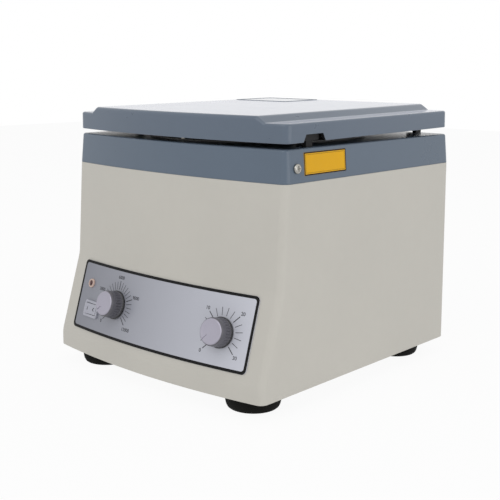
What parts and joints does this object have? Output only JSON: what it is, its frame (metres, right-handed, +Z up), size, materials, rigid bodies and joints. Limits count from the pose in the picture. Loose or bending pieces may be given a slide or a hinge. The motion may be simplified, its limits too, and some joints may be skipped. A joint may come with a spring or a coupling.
{
  "type": "hematocrit centrifuge",
  "caption": "Bench hematocrit centrifuge: a cream cabinet with a slanted control panel, a grey deck and hinged lid over a spinning slotted rotor.",
  "frame": {"origin": "on the bench surface, under the middle of the outer box", "axes": "+X to the right seen from the front, +Y to the back, +Z up; the control panel faces -Y"},
  "size_m": [0.2634, 0.2962, 0.2462],
  "materials": {
    "cabinet_paint": "satin powder coat",
    "hood_grey": "smooth semi-gloss",
    "soft_black": "moulded rubber",
    "zinc_steel": "zinc plated",
    "moulded_black": "fine texture",
    "panel_silver": "printed film",
    "knob_grey": "satin",
    "cap_silver": "spun",
    "rocker_ivory": "semi-gloss",
    "lamp_ring": "gloss",
    "lamp_dark": "clear red",
    "plate_yellow": "film",
    "spun_steel": "spun",
    "rotor_metal": "turned",
    "seal_rubber": "soft",
    "motor_paint": "black enamel",
    "core_steel": "laminated",
    "board_green": "solder resist",
    "contact_brass": "plain"
  },
  "bodies": {
    "base": {"cabinet_shell": "cabinet_paint", "floor_plate": "zinc_steel", "base_screws": "zinc_steel", "rubber_feet": "soft_black", "deck_top": "hood_grey", "deck_screws": "zinc_steel", "side_plate": "plate_yellow", "chamber_bowl": "spun_steel", "deck_fasteners": "zinc_steel", "shaft_boot": "soft_black", "mount_posts": "zinc_steel", "rubber_dampers": "soft_black", "motor_plate": "zinc_steel", "motor_bolts": "zinc_steel", "motor_housing": "motor_paint", "motor_end_cap": "motor_paint", "motor_bearings": "zinc_steel", "field_stack": "core_steel", "motor_brushes": "core_steel", "control_panel": "panel_silver", "speed_potentiometer": "moulded_black", "timer_mechanism": "moulded_black", "panel_nuts": "zinc_steel", "rocker_frame": "rocker_ivory", "lamp_bezel": "lamp_ring", "lamp_lens": "lamp_dark", "power_inlet": "moulded_black", "inlet_blades": "contact_brass", "fuse_drawer": "moulded_black", "inlet_screws": "zinc_steel", "board_standoffs": "zinc_steel", "control_board": "board_green", "lid_switch": "moulded_black", "hinge_ears": "moulded_black", "hinge_pins": "zinc_steel", "latch_keeper": "zinc_steel"},
    "lid": {"lid_shell": "hood_grey", "lid_liner": "zinc_steel", "liner_screws": "zinc_steel", "lid_gasket": "seal_rubber", "lid_top_plate": "hood_grey", "switch_striker": "moulded_black", "hinge_arms": "hood_grey", "latch_guide": "moulded_black"},
    "latch": {"latch_slider": "moulded_black"},
    "rotor": {"motor_shaft": "zinc_steel", "armature": "core_steel", "rotor_hub": "rotor_metal", "rotor_disc": "rotor_metal", "rotor_seal": "seal_rubber"},
    "cover": {"rotor_cover": "rotor_metal"},
    "nut": {"cover_nut": "rotor_metal"},
    "speed_control": {"speed_knob": "knob_grey", "speed_knob_cap": "cap_silver", "speed_spindle": "zinc_steel"},
    "timer_control": {"timer_knob": "knob_grey", "timer_knob_cap": "cap_silver", "timer_spindle": "zinc_steel"},
    "rocker": {"power_rocker": "rocker_ivory"},
    "plunger": {"switch_plunger": "moulded_black"}
  },
  "joints": [
    {"name": "lid_hinge", "type": "hinge", "parent": "base", "child": "lid", "pos_m": [0, 0.13774, 0.2209], "axis": [-1, 0, 0], "range_deg": [0, 80]},
    {"name": "latch_slide", "type": "slide", "parent": "lid", "child": "latch", "axis": [0, -0.9999, -0.0103], "range_m": [0, 0.006]},
    {"name": "rotor_spin", "type": "hinge", "parent": "base", "child": "rotor", "pos_m": [0, 0.00684, 0.19], "axis": [0, 0, 1], "continuous": true},
    {"name": "cover_lift", "type": "slide", "parent": "rotor", "child": "cover", "axis": [0, 0, 1], "range_m": [0, 0.006]},
    {"name": "nut_turn", "type": "hinge", "parent": "cover", "child": "nut", "pos_m": [0, 0.00684, 0.203], "axis": [0, 0, 1], "range_deg": [0, 1080]},
    {"name": "speed_turn", "type": "hinge", "parent": "base", "child": "speed_control", "pos_m": [-0.0475, -0.1301, 0.0665], "axis": [0.0615, 0.9562, -0.2863], "range_deg": [0, 270]},
    {"name": "timer_turn", "type": "hinge", "parent": "base", "child": "timer_control", "pos_m": [0.0812, -0.12749, 0.0654], "axis": [-0.1051, 0.9527, -0.2853], "range_deg": [0, 270]},
    {"name": "rocker_tilt", "type": "hinge", "parent": "base", "child": "rocker", "pos_m": [-0.082, -0.13007, 0.0565], "axis": [-0.0316, -0.2835, -0.9585], "range_deg": [0, 20]},
    {"name": "plunger_press", "type": "slide", "parent": "base", "child": "plunger", "axis": [0, 0, -1], "range_m": [0, 0.0025], "stiffness_N_per_m": 300, "springref_m": -0.002}
  ]
}
